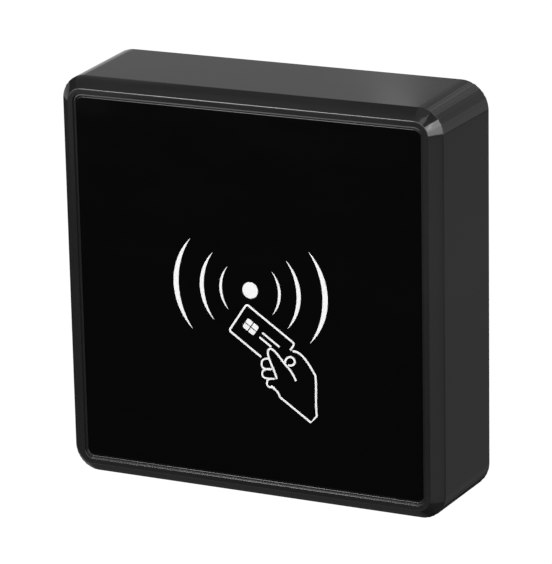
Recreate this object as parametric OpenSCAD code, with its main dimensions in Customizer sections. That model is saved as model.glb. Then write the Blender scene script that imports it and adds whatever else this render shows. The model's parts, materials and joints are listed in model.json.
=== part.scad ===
// Wall-mounted card reader: a square case hooked on a wall plate and locked from below.
// Each piece is drawn lying on its back: x to the right, y up the wall and z away from the wall.
// stand_up() then turns it upright, so that the front faces -Y and the wall is the plane y = 0.

/* [Case] */
// Width of the case at its rear rim
case_w = 86; // [84:0.5:90]
// Height of the case at its rear rim
case_h = 87; // [85:0.5:91]
// Distance from the wall to the front lip
case_d = 25.4; // [25.4:0.2:29]
// Shadow gap between the wall and the rear rim
wall_gap = 1; // [0.9:0.1:1.3]
// How far each side leans in between the rear rim and the bevel
side_taper = 0.6; // [0.4:0.1:0.8]
// Corner radius at the rear rim
corner_r = 6; // [5.5:0.25:6.5]
// Wall thickness behind the bevel
wall_t = 2.2; // [2:0.1:2.4]

/* [Front frame and panel] */
// Width of the sloping bevel, seen from the front
bevel_w = 2.3; // [1.9:0.1:2.5]
// Depth of the sloping bevel
bevel_d = 2.5; // [2.25:0.25:3]
// Width of the flat lip inside the bevel
lip_w = 1.1; // [0.9:0.1:1.3]
// Width of the step between the lip and the panel
step_w = 0.6; // [0.4:0.1:0.7]
// How far the step lies behind the lip
step_d = 0.4; // [0.3:0.1:0.5]
// How far the panel's face lies behind the step
panel_recess = 0.2; // [0.1:0.1:0.3]
// Thickness of the acrylic panel
panel_t = 2; // [1.5:0.25:2]
// Gap between the panel and the step
panel_gap = 0.1; // [0.05:0.05:0.15]
// Polished bevel on the panel's edge
panel_edge = 0.2; // [0.1:0.05:0.3]

/* [Symbols] */
// Middle of the light window, across and up
window_at = [0.35, 1.6];
// Radius of the light window
window_r = 1.75; // [1.5:0.05:2]
// Tip distance of the inner, middle and outer wave from the window, across
wave_tip_x = [4.9, 8.2, 13.2];
// Tip distance of the waves from the window, up and down
wave_tip_y = [4.68, 7.28, 9.77];
// How far each wave bulges past its tips
wave_bulge = [2.02, 3.18, 4.19];
// Thickness in the middle of each wave
wave_t = [0.57, 0.88, 1.14];
// Line width of the card and the hand
line_w = 0.42; // [0.35:0.01:0.5]
// Thickness of the printed ink
ink_t = 0.06; // [0.04:0.01:0.1]
// Card outline: width, height and corner radius
card = [12.84, 7.35, 0.5];
// Middle of the card outline
card_at = [2.8, -8.02];
// Slope of the card outline
card_turn = -34; // [-45:1:-25]

/* [Wall plate] */
// Width and height of the wall plate
plate_size = 78.8; // [78:0.2:79]
// Thickness of the wall plate
plate_t = 3; // [2.6:0.1:3]
// Distance between the two screws of a wall box
wall_screw_span = 60; // [60:0.1:60.3]
// Width of the wall screw slots
slot_w = 4.4; // [4:0.1:4.6]
// Length of the wall screw slots, end to end
slot_len = 7; // [6:0.5:7]
// Cable opening, width and height
cable_opening = [34, 30];
// Depth of the hollows in the plate's wall side
pocket_d = 1; // [0.6:0.1:1.2]

/* [Hinge and lock] */
// Height of the hinge axis above the middle of the case
hinge_y = 39.2; // [39.1:0.1:39.3]
// Distance of the hinge axis from the wall
hinge_z = 4.3; // [4.2:0.1:4.4]
// Radius of the hinge bars
hinge_bar_r = 1; // [0.9:0.05:1]
// Distance of each hook from the middle
hook_x = 24; // [20:1:26]
// Distance of the locking screw from the wall
lock_z = 4.7; // [4.6:0.1:4.8]
// Travel of the locking screw
lock_travel = 2.5; // [2:0.1:2.5]

/* [Tamper switch] */
// Place of the plunger, across and up
tamper_at = [24, -24];
// Travel of the plunger
tamper_travel = 1.5; // [1:0.1:1.5]

/* [Cable entry] */
// Place of the cable grommet, across and up
grommet_at = [0, -4];
// Radius of the grommet's bore
cable_r = 3; // [2.5:0.1:3]

/* [Hidden] */
$fn = 64;

// Overshoot that lets a cutter or a joined piece pass its neighbour's face
over = 0.2;

// Outlines, each a width, a height and a corner radius
front_size = [case_w - 2 * side_taper, case_h - 2 * side_taper, corner_r - side_taper];
lip_size = shrink(front_size, bevel_w);
recess_size = shrink(lip_size, lip_w);
panel_opening = shrink(recess_size, step_w);
panel_size = shrink(panel_opening, panel_gap);
cavity_size = shrink(front_size, wall_t);
flange_opening = shrink(panel_opening, 4.65);
cover_size = shrink(cavity_size, 0.2);
board_size = shrink(cavity_size, 1.9);
coil_outer = [62, 62, 5];
coil_w = 3;

// Distances from the wall, front to back
bevel_z = case_d - bevel_d;
step_z = case_d - step_d;
panel_face_z = step_z - panel_recess;
panel_back_z = panel_face_z - panel_t;
tape_t = 0.2;
flange_front_z = panel_back_z - tape_t;
flange_t = 1.6;
flange_back_z = flange_front_z - flange_t;
board_t = 1.6;
board_front_z = flange_back_z - 2.8;
board_back_z = board_front_z - board_t;
cover_back_z = 8.4;
cover_t = 1.6;
cover_front_z = cover_back_z + cover_t;
seal_t = 0.6;
ledge_back_z = cover_front_z + seal_t;
ledge_t = 1.6;
ledge_w = 1.3;

// Screw positions
cover_boss_x = cavity_size[0] / 2 - 4;
cover_boss_y = cavity_size[1] / 2 - 4;
cover_boss_r = 3.5;
cover_screw_r = 1;
board_boss_x = cavity_size[0] / 2 - 4.8;
board_boss_y = 20;
board_boss_r = 2.5;
board_screw_r = 0.85;
thread_play = 0.05;

// Hinge
hinge_bar_len = 7;
hinge_web_t = 1.2;
hook_w = 9;
hook_play = 0.15;
hook_t = 1.4;
hook_tip_y = hinge_y + 0.4;

// Hollows in the plate's wall side: their middle, then width, height and corner radius
pocket_at = [26, 22.5];
pocket_size = [18, 23, 2];

// Lock: heights up the wall
shelf_y = [-37.2, -34.2];
shelf_x = 7;
shelf_front_z = 7.6;
insert_r = 1.8;
lock_screw_r = 1.25;
lock_head = [2.2, 1.5];
well_r = 2.5;
well_top_y = -38;
well_seat_y = well_top_y - 1.2;
well_x = 4;
well_z = [1.2, 8.2];
lock_head_y = well_seat_y - lock_travel;

// Tamper switch stack
tamper_collar_z = cover_front_z + tamper_travel + 0.05;
tamper_collar_t = 0.8;
switch_h = 2.5;
switch_z = board_back_z - switch_h;
plunger_tip_z = plate_t + 0.05;

// Grommet
grommet_neck_r = cable_r + 1.5;
grommet_flange_r = cable_r + 3;
grommet_flange_t = 1.1;

// Places of the board's parts, across and up, and the steps between those that repeat
mcu_at = [-16, 14];
reader_at = [14, 16];
crystal_at = [-16, 1];
regulator_at = [17, 3];
capacitor_at = [27, 4];
capacitor_step = 8;
diode_at = [-5.5, -21];
diode_step = 7;
transistor_at = [9.5, -21];
transistor_step = 4.5;
resistor_at = [-23, -13.5];
resistor_step = [3.2, 3];
small_capacitor_y = 24;
small_capacitor_step = 3.2;
chip_gap = 0.1;
buzzer_at = [-25, -25.5];
buzzer_r = 6;
buzzer_h = 5.3;
header_at = [0, 32];
header_size = [22.5, 5.8];
header_h = 5.4;
header_wall = 0.9;
header_floor = 1.4;
pin_pitch = 2.5;
led_size = [3.5, 2.8];
led_h = 1.6;
guide_r = 2.3;
shroud_r = 3.6;

case_colour = [0.09, 0.09, 0.095];
steel_colour = [0.72, 0.73, 0.75];
chip_colour = [0.12, 0.12, 0.13];
ink_colour = [0.95, 0.95, 0.95];

function shrink(size, by) = [size[0] - 2 * by, size[1] - 2 * by, max(size[2] - by, 0.5)];
function grow(size, by) = [size[0] + 2 * by, size[1] + 2 * by, size[2] + by];
function chord_radius(half, bulge) = (half * half + bulge * bulge) / (2 * bulge);
function centred(i, count) = i - (count - 1) / 2;

// ---- shared shapes ----

module stand_up() {
    rotate([90, 0, 0]) children();
}

module outline(size) {
    r = size[2];
    square([size[0] - 2 * r, size[1]], center = true);
    square([size[0], size[1] - 2 * r], center = true);
    for (x = [-1, 1], y = [-1, 1])
        translate([x * (size[0] / 2 - r), y * (size[1] / 2 - r)]) circle(r = r);
}

module prism(size, z0, z1) {
    translate([0, 0, z0]) linear_extrude(height = z1 - z0) outline(size);
}

module ring(outer, inner, z0, z1) {
    translate([0, 0, z0]) linear_extrude(height = z1 - z0) difference() {
        outline(outer);
        outline(inner);
    }
}

// A block whose four sides lean in by inset over its depth
module tapered_block(size, inset, z0, z1) {
    w = size[0] / 2;
    h = size[1] / 2;
    r = size[2];
    d = z1 - z0;
    translate([0, 0, z0]) {
        for (x = [-1, 1], y = [-1, 1])
            translate([x * (w - r), y * (h - r), 0]) cylinder(h = d, r1 = r, r2 = r - inset);
        rotate([90, 0, 0]) linear_extrude(height = 2 * (h - r), center = true)
            polygon([[-w, 0], [w, 0], [w - inset, d], [inset - w, d]]);
        rotate([90, 0, 90]) linear_extrude(height = 2 * (w - r), center = true)
            polygon([[-h, 0], [h, 0], [h - inset, d], [inset - h, d]]);
    }
}

module post(at, r, z0, z1) {
    translate([at[0], at[1], z0]) cylinder(h = z1 - z0, r = r);
}

module tube(at, r_out, r_in, z0, z1) {
    difference() {
        post(at, r_out, z0, z1);
        post(at, r_in, z0 - over, z1 + over);
    }
}

module block(at, size, z0, z1) {
    translate([at[0] - size[0] / 2, at[1] - size[1] / 2, z0]) cube([size[0], size[1], z1 - z0]);
}

module at_corners(x, y) {
    for (sx = [-1, 1], sy = [-1, 1]) translate([sx * x, sy * y, 0]) children();
}

module slot_2d(length, width, turn) {
    rotate(turn) {
        square([length - width, width], center = true);
        for (x = [-1, 1]) translate([x * (length - width) / 2, 0]) circle(d = width);
    }
}

// Pan head self-tapping screw that enters from the wall side, its head below z = 0
module pan_screw(head_r, head_h, shank_r, length) {
    arm = [head_r * 1.2, 0.5, 0.7];
    difference() {
        union() {
            translate([0, 0, -head_h]) cylinder(h = head_h, r = head_r);
            cylinder(h = length, r = shank_r);
        }
        for (turn = [0, 90])
            rotate(turn) block([0, 0], arm, -head_h - over, arm[2] - head_h);
    }
}

// A line of ink that follows points, given as a polygon around them
function unit(v) = v / norm(v);
function side_step(p, i, w) =
    let (a = p[max(i - 1, 0)], b = p[min(i + 1, len(p) - 1)], t = unit(b - a)) [-t[1], t[0]] * w / 2;
module ink_line(p, w) {
    last = len(p) - 1;
    polygon(concat(
        [for (i = [0 : last]) p[i] + side_step(p, i, w)],
        [for (i = [last : -1 : 0]) p[i] - side_step(p, i, w)]));
}
function bezier(a, b, c, d, steps = 10) = [for (i = [0 : steps]) let (t = i / steps, s = 1 - t)
    s * s * s * a + 3 * s * s * t * b + 3 * s * t * t * c + t * t * t * d];

// ---- case ----

module case_shell() {
    difference() {
        union() {
            tapered_block([case_w, case_h, corner_r], side_taper, wall_gap, bevel_z);
            tapered_block(front_size, bevel_w, bevel_z, case_d);
        }
        prism(cavity_size, 0, flange_back_z);
        prism(flange_opening, flange_back_z - over, flange_front_z + over);
        prism(panel_opening, flange_front_z, case_d + over);
        prism(recess_size, step_z, case_d + over);
    }
}

module hinge_bars() {
    top = cavity_size[1] / 2 + over;
    for (x = [-hook_x, hook_x]) translate([x - hinge_bar_len / 2, hinge_y, hinge_z]) {
        rotate([0, 90, 0]) cylinder(h = hinge_bar_len, r = hinge_bar_r);
        translate([0, 0, -hinge_web_t / 2]) cube([hinge_bar_len, top - hinge_y, hinge_web_t]);
    }
}

module lock_well_block() {
    bottom = -cavity_size[1] / 2 - over;
    translate([-well_x, bottom, well_z[0]]) cube([2 * well_x, well_top_y - bottom, well_z[1] - well_z[0]]);
}

module lock_well() {
    translate([0, -case_h, lock_z]) rotate([-90, 0, 0]) cylinder(h = case_h + well_seat_y, r = well_r);
    translate([0, well_seat_y - over, lock_z]) rotate([-90, 0, 0]) cylinder(h = 2, r = lock_screw_r + 0.15);
}

module front_housing() {
    color(case_colour) stand_up() difference() {
        union() {
            case_shell();
            ring(grow(cavity_size, over), shrink(cavity_size, ledge_w), ledge_back_z, ledge_back_z + ledge_t);
            at_corners(cover_boss_x, cover_boss_y)
                post([0, 0], cover_boss_r, ledge_back_z, flange_back_z + over);
            at_corners(board_boss_x, board_boss_y)
                post([0, 0], board_boss_r, board_front_z, flange_back_z + over);
            hinge_bars();
            lock_well_block();
        }
        at_corners(cover_boss_x, cover_boss_y)
            post([0, 0], cover_screw_r + thread_play, ledge_back_z - over, ledge_back_z + 8.5);
        at_corners(board_boss_x, board_boss_y)
            post([0, 0], board_screw_r + thread_play, board_front_z - over, board_front_z + 3.6);
        lock_well();
    }
}

module front_panel() {
    color([0.02, 0.02, 0.02]) stand_up() difference() {
        union() {
            prism(panel_size, panel_back_z, panel_face_z - panel_edge);
            tapered_block(panel_size, panel_edge, panel_face_z - panel_edge, panel_face_z);
        }
        post(window_at, window_r + 0.02, panel_back_z - over, panel_face_z + over);
    }
}

module panel_tape() {
    color([0.75, 0.75, 0.72]) stand_up()
        ring(shrink(panel_size, 0.5), grow(flange_opening, 0.4), flange_front_z, panel_back_z);
}

module status_window() {
    color(ink_colour) stand_up() post(window_at, window_r, panel_back_z, panel_face_z + ink_t);
}

// ---- printed symbols ----

// One crescent: the part of a small circle that lies outside a larger one through the same tips
module crescent(tip_x, tip_y, bulge, t) {
    r_out = chord_radius(tip_y, bulge);
    r_in = chord_radius(tip_y, bulge - t);
    blunt = 0.15;
    intersection() {
        difference() {
            translate([tip_x + bulge - r_out, 0]) circle(r = r_out, $fn = 128);
            translate([tip_x + bulge - t - r_in, 0]) circle(r = r_in, $fn = 128);
        }
        translate([tip_x - 1, -tip_y + blunt]) square([bulge + 2, 2 * (tip_y - blunt)]);
    }
}

module printed() {
    color(ink_colour) stand_up() translate([0, 0, panel_face_z]) linear_extrude(height = ink_t) children();
}

module wave_marks() {
    printed() translate(window_at) for (turn = [0, 180], i = [0 : 2])
        rotate(turn) crescent(wave_tip_x[i], wave_tip_y[i], wave_bulge[i], wave_t[i]);
}

// Card outline, open at the corner that the thumb covers
module card_outline() {
    w = card[0] / 2;
    h = card[1] / 2;
    r = card[2];
    corner = function (x, y, from) [for (a = [from : -15 : from - 90])
        [x * (w - r), y * (h - r)] + r * [cos(a), sin(a)]];
    start = [[2.2, -h]];
    end = [[w, 1.9]];
    ink_line(concat(start, corner(-1, -1, 270), corner(-1, 1, 180), corner(1, 1, 90), end), line_w);
}

// Chip contact and stripe on the card, in place of any lettering
module card_marks() {
    translate([-3.1, 0.2]) difference() {
        outline([3, 2.4, 0.4]);
        square([3.6, 0.22], center = true);
        square([0.22, 3], center = true);
    }
    translate([1.9, 0.85]) square([4.6, 0.4], center = true);
    translate([1.2, -0.35]) square([3.2, 0.4], center = true);
}

// A plain mitten-like hand: thumb over the card, three fingertips behind it and a cut cuff
module hand_outline() {
    thumb_left = bezier([6, -16.6], [5.6, -14.6], [3.4, -11.6], [4.3, -10.5]);
    thumb_right = bezier([4.3, -10.5], [5.2, -9.4], [7.2, -12.6], [8.3, -13.6]);
    palm_fold = bezier([8.3, -13.6], [9.3, -14.4], [9.9, -15.5], [10.3, -16.5]);
    knuckle = bezier([7.9, -12.9], [8.2, -11.4], [9.6, -11], [10.1, -12.2]);
    knuckle_fold = bezier([10.1, -12.2], [10.3, -12.9], [9.5, -13.5], [8.6, -13.3]);
    back = bezier([9.7, -10.2], [11.6, -9.8], [13.4, -12.6], [14.7, -14.8]);
    wrist_right = bezier([14.7, -14.8], [15, -17.6], [14.5, -20.8], [14.9, -23.4]);
    cuff = [[14.9, -23.4], [13.5, -25], [6.6, -20.4]];
    wrist_left = bezier([6.6, -20.4], [6.4, -19.2], [5.2, -18.8], [4.7, -18.2]);
    for (line = [concat(thumb_left, thumb_right, palm_fold), concat(knuckle, knuckle_fold),
            concat(back, wrist_right), cuff, wrist_left])
        ink_line(unique(line), line_w);
    for (tip = [[4.6, -13.6, 2.2, 1.15], [4.9, -15.7, 2.4, 1.05], [5.5, -17.6, 2, 0.95]]) fingertip(tip);
}

// A fingertip: x and y of its root, length and half width
module fingertip(tip) {
    lean = [0.24, -0.2];
    root = [tip[0], tip[1]];
    nose = root + [-tip[2], 0] + lean;
    up = [0, tip[3]];
    ink_line(concat(bezier(root + up, root + up + [-tip[2] / 2, 0], nose + up, nose),
        slice(bezier(nose, nose - up, root - up - [tip[2] / 2, 0], root - up), 1)), line_w * 0.9);
}
function slice(p, from) = [for (i = [from : len(p) - 1]) p[i]];
function unique(p) = [for (i = [0 : len(p) - 1]) if (i == 0 || norm(p[i] - p[max(i - 1, 0)]) > 0.01) p[i]];

module card_symbol() {
    printed() {
        translate(card_at) rotate(card_turn) {
            card_outline();
            card_marks();
        }
        hand_outline();
    }
}

// ---- status light ----

module light_guide() {
    gap = 0.1;
    color([0.9, 0.93, 0.95, 0.6]) stand_up()
        post(window_at, guide_r, board_front_z + led_h + 0.7, panel_back_z - gap);
}

module light_shroud() {
    gap = 0.05;
    color([0.08, 0.08, 0.08]) stand_up()
        tube(window_at, shroud_r, guide_r + 0.1, board_front_z, panel_back_z - gap);
}

module status_led() {
    lens_r = 1.2;
    lens_h = 0.3;
    color([0.95, 0.93, 0.8]) stand_up() {
        block(window_at, led_size, board_front_z, board_front_z + led_h);
        post(window_at, lens_r, board_front_z + led_h - over, board_front_z + led_h + lens_h);
    }
}

// ---- board and what it carries ----

module circuit_board() {
    color([0.05, 0.28, 0.14]) stand_up() difference() {
        prism(board_size, board_back_z, board_front_z);
        at_corners(cover_boss_x, cover_boss_y)
            post([0, 0], cover_boss_r + 0.6, board_back_z - over, board_front_z + over);
        at_corners(board_boss_x, board_boss_y)
            post([0, 0], board_screw_r + 0.3, board_back_z - over, board_front_z + over);
    }
}

module antenna_coil() {
    color([0.72, 0.38, 0.2]) stand_up()
        ring(coil_outer, shrink(coil_outer, coil_w), board_front_z, board_front_z + 1.4);
}

module coil_leads() {
    start = coil_outer[1] / 2 - coil_w;
    color([0.72, 0.38, 0.2]) stand_up() for (x = [-2, 2]) {
        translate([x, start, board_front_z + 0.3]) rotate([90, 0, 0]) cylinder(h = 5, r = 0.25);
        post([x, start - 5], 0.7, board_front_z, board_front_z + 0.7);
    }
}

// A block on the rear of the board: its height, and its gap above the board
module on_board(at, size, h, gap = 0) {
    block(at, size, board_back_z - h, board_back_z - gap);
}

// Gull-wing package: body size, height, numbers of leads along x and y, and their pitch
module chip(at, size, h, leads_x, leads_y, pitch) {
    lead_w = 0.35;
    lead_t = 0.2;
    span = size + [2, 2];
    on_board(at, size, h, chip_gap);
    for (i = [0 : 1 : leads_x - 1])
        on_board(at + [centred(i, leads_x) * pitch, 0], [lead_w, span[1]], lead_t);
    for (i = [0 : 1 : leads_y - 1])
        on_board(at + [0, centred(i, leads_y) * pitch], [span[0], lead_w], lead_t);
}

// Dimple that marks a package's first lead
module first_lead_dimple(at, r, h) {
    dimple_d = 0.2;
    post(at, r, board_back_z - h - over, board_back_z - h + dimple_d);
}

module microcontroller() {
    size = [10, 10];
    h = 1.5;
    color(chip_colour) stand_up() difference() {
        chip(mcu_at, size, h, 11, 11, 0.8);
        first_lead_dimple(mcu_at + [-3.6, 3.6], 0.5, h);
    }
}

module reader_chip() {
    size = [9.9, 3.9];
    h = 1.6;
    color(chip_colour) stand_up() difference() {
        chip(reader_at, size, h, 8, 0, 1.27);
        first_lead_dimple(reader_at + [-3.8, -1], 0.4, h);
    }
}

module crystal() {
    flange_t = 0.4;
    color(steel_colour) stand_up() translate([crystal_at[0], crystal_at[1], board_back_z]) mirror([0, 0, 1]) {
        linear_extrude(height = 3.5) slot_2d(10.4, 4, 0);
        linear_extrude(height = flange_t) slot_2d(11.2, 4.7, 0);
    }
}

module voltage_regulator() {
    size = [6.5, 3.5];
    lead_t = 0.3;
    color(chip_colour) stand_up() {
        on_board(regulator_at, size, 1.7, chip_gap);
        on_board(regulator_at + [0, 2.4], [3, 2], lead_t);
        for (i = [-1 : 1]) on_board(regulator_at + [2.3 * i, -2.3], [0.7, 1.6], lead_t);
    }
}

module electrolytic_capacitors() {
    base = [6.6, 6.6];
    base_h = 0.8;
    can_r = 3.15;
    can_top = 5.7;
    color(steel_colour) stand_up() for (y = [-0.5, 0.5]) {
        at = capacitor_at + [0, y * capacitor_step];
        on_board(at, base, base_h);
        post(at, can_r, board_back_z - can_top, board_back_z - base_h + over);
    }
}

module protection_diodes() {
    color(chip_colour) stand_up() for (x = [-0.5, 0.5]) {
        at = diode_at + [x * diode_step, 0];
        on_board(at, [4.3, 2.6], 2.2, chip_gap);
        on_board(at, [5.2, 1.5], 0.3);
    }
}

module signal_transistors() {
    lead = [0.4, 1.2];
    lead_t = 0.2;
    color(chip_colour) stand_up() for (i = [-1 : 1]) {
        at = transistor_at + [i * transistor_step, 0];
        on_board(at, [2.9, 1.3], 1.1, chip_gap);
        on_board(at + [0, 1.1], lead, lead_t);
        for (x = [-0.95, 0.95]) on_board(at + [x, -1.1], lead, lead_t);
    }
}

module chip_resistors() {
    color([0.2, 0.2, 0.22]) stand_up() for (i = [0 : 5], row = [0, 1])
        on_board(resistor_at + [centred(i, 6) * resistor_step[0], centred(row, 2) * resistor_step[1]],
            [2, 1.25], 0.5);
}

// Two rows of ceramic capacitors: x of the first one, and how many
module chip_capacitors() {
    color([0.7, 0.58, 0.42]) stand_up() for (run = [[-24, 5], [8, 4]], i = [0 : run[1] - 1])
        on_board([run[0] + i * small_capacitor_step, small_capacitor_y], [2, 1.25], 0.9);
}

module buzzer() {
    sound_hole_r = 1;
    sound_hole_d = 1;
    color([0.1, 0.1, 0.1]) stand_up() difference() {
        post(buzzer_at, buzzer_r, board_back_z - buzzer_h, board_back_z);
        post(buzzer_at, sound_hole_r, board_back_z - buzzer_h - over, board_back_z - buzzer_h + sound_hole_d);
    }
}

// Socket for the installer's cable, open towards the rear of the case, with a keyway below
module cable_header() {
    keyway = [8, 2];
    keyway_d = 2.8;
    color([0.93, 0.91, 0.85]) stand_up() difference() {
        on_board(header_at, header_size, header_h);
        on_board(header_at, header_size - 2 * [header_wall, header_wall], header_h + over, header_floor);
        on_board(header_at - [0, 2.5], keyway, header_h + over, header_h - keyway_d);
    }
}

module header_pins() {
    pin_w = 0.64;
    pin_top = 4.6;
    color([0.8, 0.7, 0.45]) stand_up() for (i = [0 : 7])
        on_board(header_at + [centred(i, 8) * pin_pitch, 0], [pin_w, pin_w], pin_top, header_floor);
}

// ---- tamper switch ----

module tamper_switch() {
    color([0.14, 0.14, 0.15]) stand_up() difference() {
        block(tamper_at, [6.2, 6.2], switch_z, board_back_z);
        post(tamper_at, 1.25, switch_z - over, board_back_z - 0.5);
    }
}

module tamper_plunger() {
    color([0.9, 0.88, 0.82]) stand_up() {
        post(tamper_at, 1.5, plunger_tip_z, tamper_collar_z + over);
        post(tamper_at, 2.6, tamper_collar_z, tamper_collar_z + tamper_collar_t);
        post(tamper_at, 1, tamper_collar_z, board_back_z - 0.8);
    }
}

// Envelope of the coil spring between the collar and the switch
module tamper_spring() {
    color(steel_colour) stand_up()
        tube(tamper_at, 2.3, 1.6, tamper_collar_z + tamper_collar_t, switch_z);
}

// ---- back of the case ----

module board_screws() {
    color(steel_colour) stand_up() at_corners(board_boss_x, board_boss_y)
        translate([0, 0, board_back_z]) pan_screw(1.9, 1.3, board_screw_r, board_t + 3.4);
}

module cover_screws() {
    color(steel_colour) stand_up() at_corners(cover_boss_x, cover_boss_y)
        translate([0, 0, cover_back_z]) pan_screw(2.3, 1.4, cover_screw_r, 9.5);
}

module rear_cover() {
    color(case_colour) stand_up() difference() {
        union() {
            prism(cover_size, cover_back_z, cover_front_z);
            tube(tamper_at, 3.4, 1.8, cover_back_z - 1, cover_back_z + over);
        }
        at_corners(cover_boss_x, cover_boss_y)
            post([0, 0], cover_screw_r + 0.25, cover_back_z - over, cover_front_z + over);
        post(grommet_at, grommet_neck_r, cover_back_z - over, cover_front_z + over);
        post(tamper_at, 1.8, cover_back_z - 2, cover_front_z + over);
    }
}

module rear_seal() {
    color([0.16, 0.16, 0.16]) stand_up() difference() {
        union() {
            ring(cover_size, shrink(cavity_size, ledge_w), cover_front_z, ledge_back_z);
            intersection() {
                at_corners(cover_boss_x, cover_boss_y)
                    post([0, 0], cover_boss_r, cover_front_z, ledge_back_z);
                prism(cover_size, cover_front_z, ledge_back_z);
            }
        }
        at_corners(cover_boss_x, cover_boss_y)
            post([0, 0], cover_screw_r + 0.25, cover_front_z - over, ledge_back_z + over);
    }
}

module cable_grommet() {
    back_z = cover_back_z - grommet_flange_t;
    front_z = cover_front_z + grommet_flange_t;
    color([0.1, 0.1, 0.1]) stand_up() difference() {
        union() {
            post(grommet_at, grommet_flange_r, back_z, cover_back_z);
            post(grommet_at, grommet_neck_r, back_z, front_z);
            post(grommet_at, grommet_flange_r, cover_front_z, front_z);
        }
        post(grommet_at, cable_r, back_z - over, front_z + over);
    }
}

// ---- wall plate and lock ----

// Open hook that carries a hinge bar, in profile: first away from the wall, then up it
module hook_profile() {
    seat_r = hinge_bar_r + hook_play;
    bottom = hinge_y - seat_r - hook_t;
    front = hinge_z + seat_r + hook_t;
    difference() {
        translate([plate_t - over, bottom]) square([front - plate_t + over, hook_tip_y - bottom]);
        translate([hinge_z, hinge_y]) circle(r = seat_r);
        translate([hinge_z - seat_r, hinge_y]) square([2 * seat_r, 2]);
    }
}

module wall_hooks() {
    for (x = [-hook_x, hook_x]) translate([x - hook_w / 2, 0, 0])
        rotate([90, 0, 90]) linear_extrude(height = hook_w) swap_axes() hook_profile();
}

// Swaps a profile's two axes, so that its first axis ends up along z
module swap_axes() {
    mirror([1, -1, 0]) children();
}

module wall_plate() {
    rib = [1.6, 60];
    rib_h = 1.2;
    notch = [2 * well_x + 1.6, 2 * (plate_size / 2 + well_top_y) + 0.4];
    color([0.13, 0.13, 0.135]) stand_up() difference() {
        union() {
            prism([plate_size, plate_size, 3], 0, plate_t);
            wall_hooks();
            translate([-shelf_x, shelf_y[0], plate_t - over])
                cube([2 * shelf_x, shelf_y[1] - shelf_y[0], shelf_front_z - plate_t + over]);
            for (x = [-1, 1]) block([x * (plate_size - rib[0]) / 2, 0], rib, plate_t - over, plate_t + rib_h);
        }
        prism([cable_opening[0], cable_opening[1], 3], -over, plate_t + over);
        translate([0, 0, -over]) linear_extrude(height = plate_t + 2 * over) {
            for (x = [-1, 1]) translate([x * wall_screw_span / 2, 0]) slot_2d(slot_len, slot_w, 0);
            for (y = [-1, 1]) translate([0, y * wall_screw_span / 2]) slot_2d(slot_len, slot_w, 90);
        }
        at_corners(pocket_at[0], pocket_at[1]) prism(pocket_size, -over, pocket_d);
        block([0, -plate_size / 2], notch, -over, plate_t + over);
        translate([0, shelf_y[0] - over, lock_z]) rotate([-90, 0, 0])
            cylinder(h = shelf_y[1] - shelf_y[0] + 2 * over, r = insert_r);
    }
}

module lock_insert() {
    color([0.8, 0.65, 0.3]) stand_up() translate([0, shelf_y[0], lock_z]) rotate([-90, 0, 0]) difference() {
        cylinder(h = shelf_y[1] - shelf_y[0], r = insert_r);
        translate([0, 0, -over]) cylinder(h = shelf_y[1] - shelf_y[0] + 2 * over, r = lock_screw_r + 0.1);
    }
}

// Button head with a pinned hexagon socket, stored backed out of the wall plate
module security_screw() {
    shank = well_top_y - lock_head_y;
    color(steel_colour) stand_up() translate([0, lock_head_y, lock_z]) rotate([-90, 0, 0]) {
        difference() {
            translate([0, 0, -lock_head[1]]) cylinder(h = lock_head[1], r = lock_head[0]);
            translate([0, 0, -lock_head[1] - over]) cylinder(h = 1.1, r = 1.1, $fn = 6);
        }
        translate([0, 0, -lock_head[1] + 0.1]) cylinder(h = lock_head[1], r = 0.35);
        cylinder(h = shank, r = lock_screw_r);
    }
}

front_housing();
front_panel();
panel_tape();
wave_marks();
card_symbol();
status_window();
light_guide();
light_shroud();
status_led();
circuit_board();
antenna_coil();
coil_leads();
microcontroller();
reader_chip();
crystal();
voltage_regulator();
electrolytic_capacitors();
protection_diodes();
signal_transistors();
chip_resistors();
chip_capacitors();
buzzer();
cable_header();
header_pins();
tamper_switch();
tamper_plunger();
tamper_spring();
board_screws();
rear_cover();
rear_seal();
cover_screws();
cable_grommet();
wall_plate();
lock_insert();
security_screw();
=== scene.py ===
"""Wall-mounted card reader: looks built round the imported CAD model. Lengths are in metres."""
import json
import math

import bmesh
import bpy
from mathutils import Matrix, Vector


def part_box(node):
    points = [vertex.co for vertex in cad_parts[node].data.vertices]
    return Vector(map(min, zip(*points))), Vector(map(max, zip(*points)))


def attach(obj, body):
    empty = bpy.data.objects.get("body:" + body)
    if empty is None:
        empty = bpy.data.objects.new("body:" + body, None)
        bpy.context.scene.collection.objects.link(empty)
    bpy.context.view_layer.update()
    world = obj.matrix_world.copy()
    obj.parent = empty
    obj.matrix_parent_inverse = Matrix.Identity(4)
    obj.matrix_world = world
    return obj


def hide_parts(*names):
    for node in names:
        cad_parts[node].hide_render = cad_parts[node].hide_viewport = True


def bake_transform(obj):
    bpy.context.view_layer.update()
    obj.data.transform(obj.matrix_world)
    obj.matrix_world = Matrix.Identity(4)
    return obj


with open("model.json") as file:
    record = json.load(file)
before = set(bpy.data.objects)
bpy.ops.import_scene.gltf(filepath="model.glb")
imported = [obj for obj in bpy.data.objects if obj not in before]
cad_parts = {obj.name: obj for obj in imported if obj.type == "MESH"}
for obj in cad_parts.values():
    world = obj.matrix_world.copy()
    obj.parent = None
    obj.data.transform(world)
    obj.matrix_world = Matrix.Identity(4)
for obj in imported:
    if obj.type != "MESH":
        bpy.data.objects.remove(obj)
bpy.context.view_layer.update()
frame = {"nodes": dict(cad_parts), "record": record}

MM = 0.001
NODES = frame["nodes"]

# Distance between the end of a fillet and the point that keeps the flat beside it flat
HOLD = 0.1 * MM
# Edges shorter than this are dissolved after a boolean
SLIVER = 0.001 * MM
# How far a cutter or a joined piece reaches past the face it meets
OVER = 0.2 * MM
# Edges that turn by more than this stay hard
SMOOTH_ANGLE = math.radians(30)

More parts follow.
